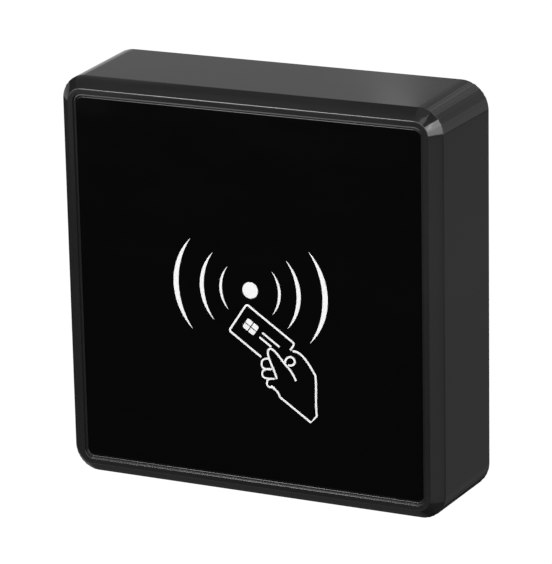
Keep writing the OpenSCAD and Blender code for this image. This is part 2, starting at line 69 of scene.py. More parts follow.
# ---- places, read from the frame ----

case_lo, case_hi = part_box("front_housing")
panel_lo, panel_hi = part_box("front_panel")
window_lo, window_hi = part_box("status_window")
board_lo, board_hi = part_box("circuit_board")
spring_lo, spring_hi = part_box("tamper_spring")
grommet_lo, grommet_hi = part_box("cable_grommet")
coil_lo, coil_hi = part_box("antenna_coil")
cover_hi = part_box("rear_cover")[1]
tape_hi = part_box("panel_tape")[1]
seal_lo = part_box("rear_seal")[0]

CASE_HALF = ((case_hi.x - case_lo.x) / 2, (case_hi.z - case_lo.z) / 2)
WINDOW = Vector(((window_lo.x + window_hi.x) / 2, 0, (window_lo.z + window_hi.z) / 2))
WINDOW_R = (window_hi.x - window_lo.x) / 2

# Distances from the wall
RIM = -case_hi.y
LIP = -case_lo.y
PANEL_FACE = -panel_lo.y
PANEL_BACK = -panel_hi.y
FLANGE_FRONT = -tape_hi.y
LEDGE = -seal_lo.y
BOARD_BACK = -board_hi.y
BOARD_FRONT = -board_lo.y

# ---- sizes of the case that its box doesn't give ----

WALL_T = 2.2 * MM
TAPER = 0.6 * MM
CORNER_R = 6 * MM
BEVEL_W = 2.3 * MM
BEVEL_D = 2.5 * MM
BEVEL_CROWN = 0.05 * MM
LIP_W = 1.15 * MM
STEP_W = 0.55 * MM
STEP_D = 0.4 * MM
STEP_RISE = 0.03 * MM
FLANGE_W = 4.65 * MM
FLANGE_BACK = FLANGE_FRONT - 1.6 * MM
PANEL_GAP = 0.1 * MM
PANEL_EDGE = 0.09 * MM
LEDGE_W = 1.3 * MM
LEDGE_T = 1.6 * MM

# Shallow flutes that polishing leaves on the case's corners: their height, the turn in radians of
# two waves from one point of a corner to the next, the second wave's share, and the share of the
# bevel's width over which they fade out
FLUTE_RISE = 0.03 * MM
FLUTE_STEP = 1.4
SLOW_FLUTE_STEP = 0.868
SLOW_FLUTE_SHARE = 0.6
FLUTE_FADE = 0.6
CASE_CORNER_STEPS = 36

# Where screws go in, across and up from the middle
COVER_SCREW_AT = (CASE_HALF[0] - TAPER - WALL_T - 4 * MM, CASE_HALF[1] - TAPER - WALL_T - 4 * MM)
BOARD_SCREW_AT = (CASE_HALF[0] - TAPER - WALL_T - 4.8 * MM, 20 * MM)

# Bars that hang in the wall plate's hooks: across, up, out from the wall, radius, length, web
HINGE_X = 24 * MM
HINGE_UP = 39.2 * MM
HINGE_OUT = 4.3 * MM
HINGE_R = 1 * MM
HINGE_LEN = 7 * MM
HINGE_WEB = 1.2 * MM

# Locking screw: distance from the wall and height of its well's top
LOCK_OUT = 4.7 * MM
WELL_TOP = -38 * MM


# ---- mesh helpers ----

def outline(half_w, half_h, radius, depth, steps=10, ripple=0.0):
    """Rounded rectangle at one distance from the wall, anticlockwise seen from the front.

    A point just outside each end of a corner keeps the shading of the straight sides flat.
    ripple is the height of the shallow flutes on the corners.
    """
    points = []
    for turn, (sx, sz) in enumerate(((1, 1), (-1, 1), (-1, -1), (1, -1))):
        corner = []
        for k in range(steps + 1):
            a = math.radians(90 * (turn + k / steps))
            flutes = math.sin(FLUTE_STEP * k + turn) + SLOW_FLUTE_SHARE * math.sin(SLOW_FLUTE_STEP * k)
            r = radius + ripple * flutes * math.sin(math.pi * k / steps)
            x = sx * (half_w - radius) + r * math.cos(a)
            z = sz * (half_h - radius) + r * math.sin(a)
            corner.append(Vector((x, -depth, z)))
        a = math.radians(90 * turn)
        along = Vector((-math.sin(a), 0, math.cos(a))) * HOLD
        across = Vector((-math.cos(a), 0, -math.sin(a))) * HOLD
        points += [corner[0] - along] + corner + [corner[-1] + across]
    return points


def rounded(points, steps=4):
    """Closed profile of (across, along, fillet radius) corners, with each corner turned into an arc.

    A point just outside each end of an arc keeps the shading of the flats beside it flat.
    """
    out = []
    for i, (x, y, r) in enumerate(points):
        here = Vector((x, y))
        before = Vector(points[i - 1][:2])
        after = Vector(points[(i + 1) % len(points)][:2])
        if r <= 0:
            out.append(here)
            continue
        to_a, to_b = (before - here), (after - here)
        la, lb = to_a.length, to_b.length
        to_a.normalize()
        to_b.normalize()
        half = to_a.angle(to_b) / 2
        back = min(r / math.tan(half), la * 0.49, lb * 0.49)
        r = back * math.tan(half)
        middle = here + (to_a + to_b).normalized() * (r / math.sin(half))
        start = here + to_a * back - middle
        end = here + to_b * back - middle
        a0 = math.atan2(start.y, start.x)
        sweep = math.remainder(math.atan2(end.y, end.x) - a0, 2 * math.pi)
        if la - back > 4 * HOLD:
            out.append(here + to_a * (back + HOLD))
        for k in range(steps + 1):
            a = a0 + sweep * k / steps
            out.append(middle + r * Vector((math.cos(a), math.sin(a))))
        if lb - back > 4 * HOLD:
            out.append(here + to_b * (back + HOLD))
    return out


def crowned(start, end, rise, steps=6):
    """Points along the first two thirds between two corners of a profile, bowed outwards by rise."""
    run, climb = end[0] - start[0], end[1] - start[1]
    length = math.hypot(run, climb)
    side = (-climb / length, run / length)
    points = []
    for k in range(1, steps - 1):
        t = k / steps
        bow = rise * 4 * t * (1 - t)
        points.append((start[0] + run * t + side[0] * bow, start[1] + climb * t + side[1] * bow, 0))
    return points


def loft(bm, loops, closed=False, caps=False):
    """Joins loops of equally many points with quads. closed joins the last loop to the first."""
    rings = [[bm.verts.new(p) for p in loop] for loop in loops]
    pairs = list(zip(rings, rings[1:]))
    if closed:
        pairs.append((rings[-1], rings[0]))
    for a, b in pairs:
        for i in range(len(a)):
            j = (i + 1) % len(a)
            bm.faces.new((a[i], a[j], b[j], b[i]))
    if caps:
        bm.faces.new(rings[0])
        bm.faces.new(reversed(rings[-1]))


def revolve(bm, profile, centre, axis="y", steps=48):
    """Turns a closed (radius, along) profile about an axis through centre."""
    loops = []
    for k in range(steps):
        a = 2 * math.pi * k / steps
        c, s = math.cos(a), math.sin(a)
        if axis == "x":
            loops.append([centre + Vector((along, r * c, r * s)) for r, along in profile])
        elif axis == "y":
            loops.append([centre + Vector((r * c, along, r * s)) for r, along in profile])
        else:
            loops.append([centre + Vector((r * c, r * s, along)) for r, along in profile])
    loft(bm, loops, closed=True)
    bmesh.ops.remove_doubles(bm, verts=bm.verts, dist=1e-7)


def wire_section(point, out, wire, sides):
    """Points round a wire of the given radius, in the plane of out and the Y axis."""
    angles = [math.tau * n / sides for n in range(sides)]
    return [point + (out * wire * math.cos(t) + Vector((0, wire * math.sin(t), 0))) for t in angles]


def block(bm, xs, depths, ups):
    """Box between two values across, two distances from the wall and two heights."""
    corners = [bm.verts.new((x, -d, up)) for x in xs for d in depths for up in ups]
    for a, b, c, d in ((0, 1, 3, 2), (4, 6, 7, 5), (0, 4, 5, 1), (2, 3, 7, 6), (0, 2, 6, 4), (1, 5, 7, 3)):
        bm.faces.new([corners[i] for i in (a, b, c, d)])


def object_from(bm, name):
    """Turns a bmesh into an object, shaded smooth with its hard edges kept."""
    bmesh.ops.recalc_face_normals(bm, faces=bm.faces)
    mesh = bpy.data.meshes.new(name)
    bm.to_mesh(mesh)
    bm.free()
    mesh.polygons.foreach_set("use_smooth", [True] * len(mesh.polygons))
    mesh.set_sharp_from_angle(angle=SMOOTH_ANGLE)
    piece = bpy.data.objects.new(name, mesh)
    bpy.context.scene.collection.objects.link(piece)
    return piece


def made(name, build, *sizes):
    """Object of the mesh that a build function draws."""
    bm = bmesh.new()
    build(bm, *sizes)
    return object_from(bm, name)


def cut(piece, cutter, operation="DIFFERENCE"):
    """Applies an exact boolean, removes the cutter and tidies away slivers."""
    mod = piece.modifiers.new("cut", "BOOLEAN")
    mod.operation = operation
    mod.solver = "EXACT"
    mod.object = cutter
    bpy.context.view_layer.update()
    dg = bpy.context.evaluated_depsgraph_get()
    mesh = bpy.data.meshes.new_from_object(piece.evaluated_get(dg))
    bm = bmesh.new()
    bm.from_mesh(mesh)
    bmesh.ops.dissolve_degenerate(bm, dist=SLIVER, edges=bm.edges)
    bm.to_mesh(mesh)
    bm.free()
    piece.modifiers.clear()
    piece.data = mesh
    bpy.data.objects.remove(cutter)


# ---- materials ----

def material(name):
    mat = bpy.data.materials.new(name)
    mat.use_nodes = True
    return mat, mat.node_tree.nodes, mat.node_tree.links


def connect(nodes, links, colour, roughness, normal):
    """Feeds the material's shader."""
    sockets = nodes["Principled BSDF"].inputs
    links.new(colour, sockets["Base Color"])
    links.new(roughness, sockets["Roughness"])
    links.new(normal, sockets["Normal"])


def tint(colour, factor):
    return tuple(min(1, c * factor) for c in colour)


def noise(nodes, links, scale, detail=3.0, roughness=0.5, stretch=(1, 1, 1)):
    coords = nodes.new("ShaderNodeTexCoord")
    mapping = nodes.new("ShaderNodeMapping")
    mapping.inputs["Scale"].default_value = stretch
    tex = nodes.new("ShaderNodeTexNoise")
    tex.inputs["Scale"].default_value = scale
    tex.inputs["Detail"].default_value = detail
    tex.inputs["Roughness"].default_value = roughness
    links.new(coords.outputs["Object"], mapping.inputs["Vector"])
    links.new(mapping.outputs["Vector"], tex.inputs["Vector"])
    return tex.outputs["Fac"]


def remap(nodes, links, value, low, high, from_low=0.3, from_high=0.7):
    node = nodes.new("ShaderNodeMapRange")
    node.inputs["From Min"].default_value = from_low
    node.inputs["From Max"].default_value = from_high
    node.inputs["To Min"].default_value = low
    node.inputs["To Max"].default_value = high
    links.new(value, node.inputs["Value"])
    return node.outputs["Result"]


def blend_colour(nodes, links, value, a, b):
    """Mixes two colours by a value."""
    node = nodes.new("ShaderNodeMix")
    node.data_type = "RGBA"
    node.inputs[6].default_value = (*a, 1)
    node.inputs[7].default_value = (*b, 1)
    links.new(value, node.inputs[0])
    return node.outputs[2]


def bump(nodes, links, height, distance):
    node = nodes.new("ShaderNodeBump")
    node.inputs["Distance"].default_value = distance
    links.new(height, node.inputs["Height"])
    return node.outputs["Normal"]


def painted_edge_highlight(nodes, links, colour, highlit_edges, amount=0.35):
    """Mixes a colour towards a lighter one along convex edges as a painted edge highlight, broken up by
    noise.
    """
    highlight_from, highlight_to = 0.52, 0.6
    geometry = nodes.new("ShaderNodeNewGeometry")
    edge = remap(nodes, links, geometry.outputs["Pointiness"], 0.0, amount, highlight_from, highlight_to)
    patchy = nodes.new("ShaderNodeMath")
    patchy.operation = "MULTIPLY"
    links.new(edge, patchy.inputs[0])
    links.new(noise(nodes, links, 260.0, detail=4.0), patchy.inputs[1])
    node = nodes.new("ShaderNodeMix")
    node.data_type = "RGBA"
    node.inputs[7].default_value = (*highlit_edges, 1)
    links.new(patchy.outputs[0], node.inputs[0])
    links.new(colour, node.inputs[6])
    return node.outputs[2]


def moulded_plastic(name, colour, rough, grain=900.0, grain_depth=0.004 * MM):
    """Moulded plastic: spark-eroded grain, slow flow marks, slightly uneven gloss, edges lightened as a
    painted highlight.
    """
    uneven = 0.05
    mat, nodes, links = material(name)
    fine = noise(nodes, links, grain, detail=4.0, roughness=0.6)
    slow = noise(nodes, links, 28.0, detail=2.0)
    base = blend_colour(nodes, links, slow, colour, tint(colour, 1.25))
    # Convex edges mixed towards a lighter colour: a painted edge highlight
    highlit_edges = painted_edge_highlight(nodes, links, base, tint(colour, 2.2))
    gloss = remap(nodes, links, slow, rough - uneven, rough + uneven)
    connect(nodes, links, highlit_edges, gloss, bump(nodes, links, fine, grain_depth))
    return mat


def acrylic(name, colour):
    """Polished acrylic with a faint haze of wipe marks."""
    mat, nodes, links = material(name)
    haze = noise(nodes, links, 40.0, detail=5.0, roughness=0.65, stretch=(1, 1, 2.5))
    wave = noise(nodes, links, 14.0, detail=1.0)
    base = blend_colour(nodes, links, haze, colour, tint(colour, 1.6))
    gloss = remap(nodes, links, haze, 0.03, 0.09)
    connect(nodes, links, base, gloss, bump(nodes, links, wave, 0.002 * MM))
    return mat


def ink(name, colour):
    """Screen-printed ink: matt, with a very fine pebble."""
    mat, nodes, links = material(name)
    fine = noise(nodes, links, 2500.0, detail=2.0)
    base = blend_colour(nodes, links, fine, tint(colour, 0.97), colour)
    gloss = remap(nodes, links, fine, 0.4, 0.55)
    connect(nodes, links, base, gloss, bump(nodes, links, fine, 0.002 * MM))
    return mat


def rubber(name, colour):
    """Matt rubber or foam with a fine grain."""
    mat, nodes, links = material(name)
    fine = noise(nodes, links, 1400.0, detail=3.0)
    base = blend_colour(nodes, links, fine, colour, tint(colour, 1.5))
    gloss = remap(nodes, links, fine, 0.6, 0.8)
    connect(nodes, links, base, gloss, bump(nodes, links, fine, 0.01 * MM))
    return mat


def metal(name, colour, rough):
    """Plated or turned metal with fine tool marks and edges brightened as a painted highlight."""
    mat, nodes, links = material(name)
    nodes["Principled BSDF"].inputs["Metallic"].default_value = 1.0
    fine = noise(nodes, links, 700.0, detail=4.0, stretch=(1, 6, 1))
    slow = noise(nodes, links, 120.0, detail=2.0)
    base = blend_colour(nodes, links, slow, tint(colour, 0.85), colour)
    # Convex edges mixed towards a brighter colour: a painted edge highlight
    highlit_edges = painted_edge_highlight(nodes, links, base, tint(colour, 1.25))
    gloss = remap(nodes, links, fine, rough * 0.7, rough * 1.4)
    connect(nodes, links, highlit_edges, gloss, bump(nodes, links, fine, 0.003 * MM))
    return mat


WHITE_INK = (0.7, 0.7, 0.7)
BRIGHT_METAL = (0.6, 0.61, 0.62)

MATERIALS = {
    "case_plastic": moulded_plastic("case_plastic", (0.0095, 0.0095, 0.0098), 0.15, grain_depth=0.0012 * MM),
    "gloss_panel": acrylic("gloss_panel", (0.0008, 0.0008, 0.0009)),
    "white_print": ink("white_print", WHITE_INK),
    "light_window": ink("light_window", WHITE_INK),
    "tape": rubber("tape", (0.5, 0.5, 0.47)),
    "clear_plastic": moulded_plastic("clear_plastic", (0.75, 0.78, 0.8), 0.12),
    "led_body": moulded_plastic("led_body", (0.8, 0.76, 0.6), 0.3),
    "board_green": moulded_plastic("board_green", (0.006, 0.07, 0.03), 0.25, grain=300.0),
    "copper_wire": metal("copper_wire", (0.75, 0.33, 0.14), 0.25),
    "chip_black": moulded_plastic("chip_black", (0.015, 0.015, 0.016), 0.55),
    "plated_metal": metal("plated_metal", BRIGHT_METAL, 0.3),
    "can_aluminium": metal("can_aluminium", (0.75, 0.75, 0.76), 0.35),
    "ceramic_tan": moulded_plastic("ceramic_tan", (0.42, 0.3, 0.18), 0.4),
    "inner_plastic": moulded_plastic("inner_plastic", (0.02, 0.02, 0.02), 0.45),
    "header_nylon": moulded_plastic("header_nylon", (0.75, 0.72, 0.62), 0.4),
    "brass_pins": metal("brass_pins", (0.75, 0.55, 0.22), 0.28),
    "screw_steel": metal("screw_steel", BRIGHT_METAL, 0.25),
    "cover_plastic": moulded_plastic("cover_plastic", (0.03, 0.03, 0.031), 0.42, 700.0, 0.006 * MM),
    "black_rubber": rubber("black_rubber", (0.012, 0.012, 0.012)),
}


def dress(piece, slot, body, *replaced):
    """Gives a new piece the material named by its slot and its body, and hides the CAD nodes it stands for.
    """
    piece.data.materials.clear()
    piece.data.materials.append(MATERIALS[slot])
    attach(piece, body)
    if replaced:
        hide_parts(*replaced)


# ---- case ----

def case_profile():
    """The case's wall in section: (inset from the rear outline, distance from the wall, fillet radius)."""
    bevel_start = LIP - BEVEL_D
    lip_out = TAPER + BEVEL_W
    lip_in = lip_out + LIP_W
    step_in = lip_in + STEP_W
    flange_in = step_in + FLANGE_W
    cavity = TAPER + WALL_T
    outer = [(0, RIM, 0.08 * MM), (TAPER, bevel_start, 0.2 * MM)]
    bevel = crowned((TAPER, bevel_start), (lip_out, LIP), BEVEL_CROWN)
    inner = [
        (lip_out, LIP, 0.26 * MM),
        (lip_in, LIP, 0.1 * MM),
        (lip_in, LIP - STEP_D - STEP_RISE / 2, 0.02 * MM),
        (step_in, LIP - STEP_D + STEP_RISE / 2, 0.12 * MM),
        (step_in, FLANGE_FRONT, 0),
        (flange_in, FLANGE_FRONT, 0.1 * MM),
        (flange_in, FLANGE_BACK, 0.1 * MM),
        (cavity, FLANGE_BACK, 0),
        (cavity, RIM, 0.25 * MM),
    ]
    return outer + bevel + inner


def case_shell(bm):
    """The wall's section swept round the case. The corner flutes fade out along the bevel."""
    least_radius = 0.5 * MM
    loops = []
    for inset, depth in rounded(case_profile()):
        fade = min(1, max(0, 1 - (inset - TAPER) / (FLUTE_FADE * BEVEL_W)))
        radius = max(CORNER_R - inset, least_radius)
        half_w, half_h = CASE_HALF[0] - inset, CASE_HALF[1] - inset
        loops.append(outline(half_w, half_h, radius, depth, CASE_CORNER_STEPS, FLUTE_RISE * fade))
    loft(bm, loops, closed=True)


def case_ledge(bm):
    """Ledge round the inside of the case that the rear seal presses on."""
    out = (CASE_HALF[0] - TAPER - WALL_T + OVER, CASE_HALF[1] - TAPER - WALL_T + OVER)
    inset = LEDGE_W + OVER
    loops = []
    for along, across in ((LEDGE, 0), (LEDGE, inset), (LEDGE + LEDGE_T, inset), (LEDGE + LEDGE_T, 0)):
        radius = CORNER_R - TAPER - WALL_T - across * 0.5
        loops.append(outline(out[0] - across, out[1] - across, radius, along))
    loft(bm, loops, closed=True)


def four_corners(place):
    return [Vector((sx * place[0], 0, sz * place[1])) for sx in (-1, 1) for sz in (-1, 1)]


def boss(bm, at, r, hole_r, back, hole_depth):
    """Round boss on the flange with a blind, countersunk pilot hole that opens towards the wall."""
    front = FLANGE_BACK + OVER
    sink = 0.25 * MM
    floor = back + hole_depth
    profile = rounded([(0, floor, 0), (hole_r, floor, 0), (hole_r, back + sink, 0), (hole_r + sink, back, 0),
                       (r, back, 0.25 * MM), (r, front, 0), (0, front, 0)])
    revolve(bm, [(radius, -along) for radius, along in profile], at, steps=40)


def case_bosses(bm):
    """Four bosses for the rear cover's screws and four for the board's."""
    for cover_at, board_at in zip(four_corners(COVER_SCREW_AT), four_corners(BOARD_SCREW_AT)):
        boss(bm, cover_at, r=3.5 * MM, hole_r=1.05 * MM, back=LEDGE, hole_depth=8.5 * MM)
        boss(bm, board_at, r=2.5 * MM, hole_r=0.9 * MM, back=BOARD_FRONT, hole_depth=3.6 * MM)


def hinge_webs(bm):
    """Webs under the top wall that carry the two hinge bars."""
    top = CASE_HALF[1] - TAPER - WALL_T + OVER
    half = HINGE_LEN / 2 - 0.05 * MM
    for x in (-HINGE_X, HINGE_X):
        depths = (HINGE_OUT - HINGE_WEB / 2, HINGE_OUT + HINGE_WEB / 2)
        block(bm, (x - half, x + half), depths, (HINGE_UP, top))


def hinge_bars(bm):
    """The two rounded bars that hang in the wall plate's hooks."""
    fillet = 0.2 * MM
    profile = rounded([(0, 0, 0), (HINGE_R, 0, fillet), (HINGE_R, HINGE_LEN, fillet), (0, HINGE_LEN, 0)])
    for x in (-HINGE_X, HINGE_X):
        revolve(bm, profile, Vector((x - HINGE_LEN / 2, -HINGE_OUT, HINGE_UP)), axis="x", steps=32)


def lock_block(bm):
    """Block inside the bottom wall that the locking screw's well is bored in."""
    half, out = 4 * MM, 3.5 * MM
    low = -CASE_HALF[1] + TAPER + WALL_T - OVER
    block(bm, (-half, half), (LOCK_OUT - out, LOCK_OUT + out), (low, WELL_TOP))


def lock_bore(bm):
    """The screw's well and the smaller hole above it, with a chamfered mouth."""
    mouth_r, well_r, hole_r = 2.9 * MM, 2.5 * MM, 1.4 * MM
    outside = -CASE_HALF[1]
    chamfer_from, chamfer_to, corner = 0.35 * MM, 0.7 * MM, 0.1 * MM
    seat = WELL_TOP - 1.12 * MM
    profile = [
        (0, outside - OVER),
        (mouth_r, outside - OVER),
        (mouth_r, outside + chamfer_from),
        (well_r, outside + chamfer_to),
        (well_r, seat - corner),
        (well_r - corner, seat),
        (hole_r, seat),
        (hole_r, WELL_TOP + OVER),
        (0, WELL_TOP + OVER),
    ]
    revolve(bm, profile, Vector((0, -LOCK_OUT, 0)), axis="z")


case = made("case_body", case_shell)
for build in (case_ledge, case_bosses, hinge_webs, hinge_bars, lock_block):
    cut(case, made("cutter", build), "UNION")
cut(case, made("cutter", lock_bore))
case.data.set_sharp_from_angle(angle=SMOOTH_ANGLE)
dress(case, "case_plastic", "case", "front_housing")


# ---- panel and its light window ----

def panel_sheet(bm):
    """Acrylic panel with a sharp back edge and a polished, rounded front edge."""
    half = ((panel_hi.x - panel_lo.x) / 2, (panel_hi.z - panel_lo.z) / 2)
    radius = CORNER_R - TAPER - BEVEL_W - LIP_W - STEP_W - PANEL_GAP
    inside, least_radius = 6 * MM, 0.3 * MM
    profile = rounded([(0, PANEL_BACK, 0.1 * MM), (0, PANEL_FACE, PANEL_EDGE), (inside, PANEL_FACE, 0),
                       (inside, PANEL_BACK, 0)], 6)
    loops = []
    # The last two points only close the section
    for inset, depth in profile[:-2]:
        corner_r = max(radius - inset, least_radius)
        loops.append(outline(half[0] - inset, half[1] - inset, corner_r, depth, 8))
    loft(bm, loops, caps=True)


def window_hole(bm):
    """Hole through the panel, a little wider than the window, with a chamfer in front."""
    r = WINDOW_R + 0.02 * MM
    wide = r + 0.1 * MM
    back, front = OVER - PANEL_BACK, -PANEL_FACE
    profile = [(0, back), (r, back), (r, front + 0.06 * MM), (wide, front - 0.04 * MM), (wide, front - OVER),
               (0, front - OVER)]
    revolve(bm, profile, WINDOW, steps=64)


def window_plug(bm):
    """Diffusing plug, slightly domed at the front."""
    r, front, back = WINDOW_R, window_lo.y, window_hi.y
    dome, steps = 0.05 * MM, 6
    profile = [(0, back), (r - 0.1 * MM, back), (r, back - 0.1 * MM), (r, front + 0.12 * MM)]
    for k in range(1, steps + 1):
        left = 1 - k / steps
        radius = r - 0.08 * MM if k == 1 else r * left
        profile.append((radius, front + dome * left ** 2))
    revolve(bm, profile, WINDOW, steps=64)


panel = made("panel_face", panel_sheet)
cut(panel, made("cutter", window_hole))
panel.data.set_sharp_from_angle(angle=SMOOTH_ANGLE)
dress(panel, "gloss_panel", "case", "front_panel")
dress(made("window_lens", window_plug), "light_window", "case", "status_window")


# ---- cable grommet ----

def grommet_ring(bm):
    """Moulded grommet: two flanges that grip the rear cover and two sealing ribs in its bore."""
    back, front = grommet_hi.y, grommet_lo.y
    bore, neck, flange, thick = 3 * MM, 4.5 * MM, 6 * MM, 1.1 * MM
    rib_from_face, rib_half, rib_rise = 1.3 * MM, 0.4 * MM, 0.25 * MM
    soft, edge, inner = 0.4 * MM, 0.2 * MM, 0.1 * MM
    profile = [
        (bore, back, 0.35 * MM),
        (flange, back, soft),
        (flange, back - thick, edge),
        (neck, back - thick, inner),
        (neck, front + thick, inner),
        (flange, front + thick, edge),
        (flange, front, soft),
        (bore, front, 0.35 * MM),
    ]
    for middle in (front + rib_from_face, back - rib_from_face):
        profile += [(bore, middle - rib_half, inner), (bore - rib_rise, middle, 0.12 * MM),
                    (bore, middle + rib_half, inner)]
    centre = Vector(((grommet_lo.x + grommet_hi.x) / 2, 0, (grommet_lo.z + grommet_hi.z) / 2))
    revolve(bm, rounded(profile), centre, steps=64)


dress(made("grommet", grommet_ring), "black_rubber", "case", "cable_grommet")


# ---- tamper spring ----

def spring_coil(bm):
    """Compression spring with closed ends, between the plunger's collar and the switch."""
    wire = 0.15 * MM
    turns, closed_turns, steps = 4.2, 0.8, 24
    radius = (spring_hi.x - spring_lo.x) / 2 - wire
    centre = Vector(((spring_lo.x + spring_hi.x) / 2, 0, (spring_lo.z + spring_hi.z) / 2))
    height = spring_hi.y - spring_lo.y - 2 * wire
    closed_pitch = 2 * wire
    pitch = (height - 2 * closed_turns * closed_pitch) / (turns - 2 * closed_turns)
    loops = []
    along = spring_lo.y + wire
    for k in range(int(turns * steps) + 1):
        a = 2 * math.pi * k / steps
        out = Vector((math.cos(a), 0, math.sin(a)))
        loops.append(wire_section(centre + out * radius + Vector((0, along, 0)), out, wire, 10))
        turn = k / steps
        at_end = turn < closed_turns or turn > turns - closed_turns
        along += (closed_pitch if at_end else pitch) / steps
    loft(bm, loops, caps=True)


spring = made("button_spring", spring_coil)
spring.data.materials.append(MATERIALS["plated_metal"])
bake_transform(spring)
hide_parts("tamper_spring")


# ---- screws ----

def self_tapper(bm, head_r, head_h, shank_r, length):
    """Pan head screw at the origin: head towards +Y, threaded shank towards -Y, blunt point."""
    sides, dome_steps, turn_steps = 32, 8, 8
    pitch, edge, point_length = 0.9 * MM, 0.12 * MM, 1.6 * MM
    # Shares: of the head's height under its dome, of the shank's radius at its tip and between threads
    head_rim, tip, root = 0.4, 0.25, 0.78
    sharpness = 2.2
    profile = []
    for k in range(1, dome_steps + 1):
        t = math.radians(90 * k / dome_steps)
        profile.append((head_r * math.sin(t), head_h * (head_rim + (1 - head_rim) * math.cos(t))))
    profile += [(head_r, edge), (head_r - edge, 0), (shank_r * 0.8, 0)]
    rings = [[corner] * sides for corner in profile]
    steps = int(length / pitch * turn_steps)
    for k in range(1, steps + 1):
        along = length * k / steps
        narrowing = min(1, (length - along) / point_length + tip)
        ring = []
        for n in range(sides):
            u = (along / pitch + n / sides) % 1
            crest = max(0, 1 - abs(2 * u - 1) * sharpness)
            ring.append((shank_r * narrowing * (root + (1 - root) * crest), -along))
        rings.append(ring)
    angles = [math.tau * n / sides for n in range(sides)]
    loops = []
    for ring in rings:
        loops.append([(r * math.cos(a), along, r * math.sin(a)) for a, (r, along) in zip(angles, ring)])
    loft(bm, loops, caps=True)


def driver_slot(bm, r, depth, top, turn):
    """One of the two crossed wedges of a cross recess, narrower towards its floor."""
    half = 0.3 * MM
    floor_reach, floor_half = r * 0.35, half * 0.6
    spin = Matrix.Rotation(math.radians(turn), 3, "Y")
    loops = []
    for along, reach, w in ((top + OVER, r, half), (top - depth, floor_reach, floor_half)):
        corners = ((-reach, -w), (reach, -w), (reach, w), (-reach, w))
        loops.append([spin @ Vector((x, along, z)) for x, z in corners])
    loft(bm, loops, caps=True)


def screws_at(name, node, places, seat, head_r, head_h, shank_r, length):
    """One screw, cut once and copied to its places, each turned a little differently."""
    master = made("screw", self_tapper, head_r, head_h, shank_r, length)
    recess_r, recess_depth = head_r * 0.62, head_h * 0.75
    for turn in (0, 90):
        cut(master, made("cutter", driver_slot, recess_r, recess_depth, head_h, turn))
    bm = bmesh.new()
    for at in places:
        before = len(bm.verts)
        bm.from_mesh(master.data)
        bm.verts.ensure_lookup_table()
        turn = Matrix.Rotation(at.x * 900 + at.z * 400, 3, "Y")
        for vert in bm.verts[before:]:
            vert.co = turn @ vert.co + Vector((at.x, seat, at.z))
    bpy.data.objects.remove(master)
    dress(object_from(bm, name), "screw_steel", "case", node)


screws_at("rear_screws", "cover_screws", four_corners(COVER_SCREW_AT), seat=cover_hi.y - 1 * MM,
          head_r=2.3 * MM, head_h=1.4 * MM, shank_r=1 * MM, length=9.5 * MM)
screws_at("inner_screws", "board_screws", four_corners(BOARD_SCREW_AT), seat=-BOARD_BACK,
          head_r=1.9 * MM, head_h=1.3 * MM, shank_r=0.85 * MM, length=5 * MM)


# ---- reading coil ----

def winding(bm):
    """Turns of enamelled wire in three layers round a rounded square."""
    wire, band, corner_r = 0.225 * MM, 3 * MM, 5 * MM
    layers, across = 3, 6
    half = (coil_hi.x - coil_lo.x) / 2
    front, back = coil_lo.y, coil_hi.y
    for layer in range(layers):
        depth = -back + wire + layer * (back - front - 2 * wire) / (layers - 1)
        for turn in range(across):
            inset = wire + turn * (band - 2 * wire) / (across - 1)
            path = outline(half - inset, half - inset, corner_r - inset, depth, 6)
            loops = []
            for i, point in enumerate(path):
                along = (path[(i + 1) % len(path)] - path[i - 1]).normalized()
                loops.append(wire_section(point, along.cross(Vector((0, 1, 0))), wire, 6))
            loft(bm, loops, closed=True)


dress(made("coil_winding", winding), "copper_wire", "case", "antenna_coil")


# ---- CAD nodes whose shape stays ----

# Edge radius in millimetres
EDGE_ROUNDING = {
    "wall_plate": 0.12,
    "rear_cover": 0.2,
    "security_screw": 0.15,
    "tamper_plunger": 0.15,
    "tamper_switch": 0.15,
    "lock_insert": 0.1,
    "rear_seal": 0.1,
    "circuit_board": 0.05,
    "microcontroller": 0.04,
    "reader_chip": 0.04,
    "crystal": 0.1,
    "voltage_regulator": 0.06,
    "electrolytic_capacitors": 0.12,
    "protection_diodes": 0.06,
    "signal_transistors": 0.04,
    "chip_resistors": 0.04,
    "chip_capacitors": 0.06,
    "buzzer": 0.2,
    "cable_header": 0.1,
    "header_pins": 0.08,
    "status_led": 0.05,
    "light_guide": 0.1,
    "light_shroud": 0.08,
}


def soften(node, width):
    """Joins the node's flat triangles into faces and rounds its sharp edges, all in modifiers."""
    weld = node.modifiers.new("weld", "WELD")
    weld.merge_threshold = 0.0005 * MM
    flat = node.modifiers.new("flat_faces", "DECIMATE")
    flat.decimate_type = "DISSOLVE"
    flat.angle_limit = math.radians(0.5)
    edges = node.modifiers.new("rounded_edges", "BEVEL")
    edges.width = width
    edges.segments = 2
    edges.limit_method = "ANGLE"
    edges.angle_limit = math.radians(35)
    edges.use_clamp_overlap = False
    edges.miter_outer = "MITER_ARC"
    edges.harden_normals = True


for entry in frame["record"]["subparts"]:
    node = NODES[entry["node"]]
    node.data.materials.clear()
    node.data.materials.append(MATERIALS[entry["material_slot"]])

for name, width in EDGE_ROUNDING.items():
    soften(NODES[name], width * MM)


# ---- camera, floor and light ----

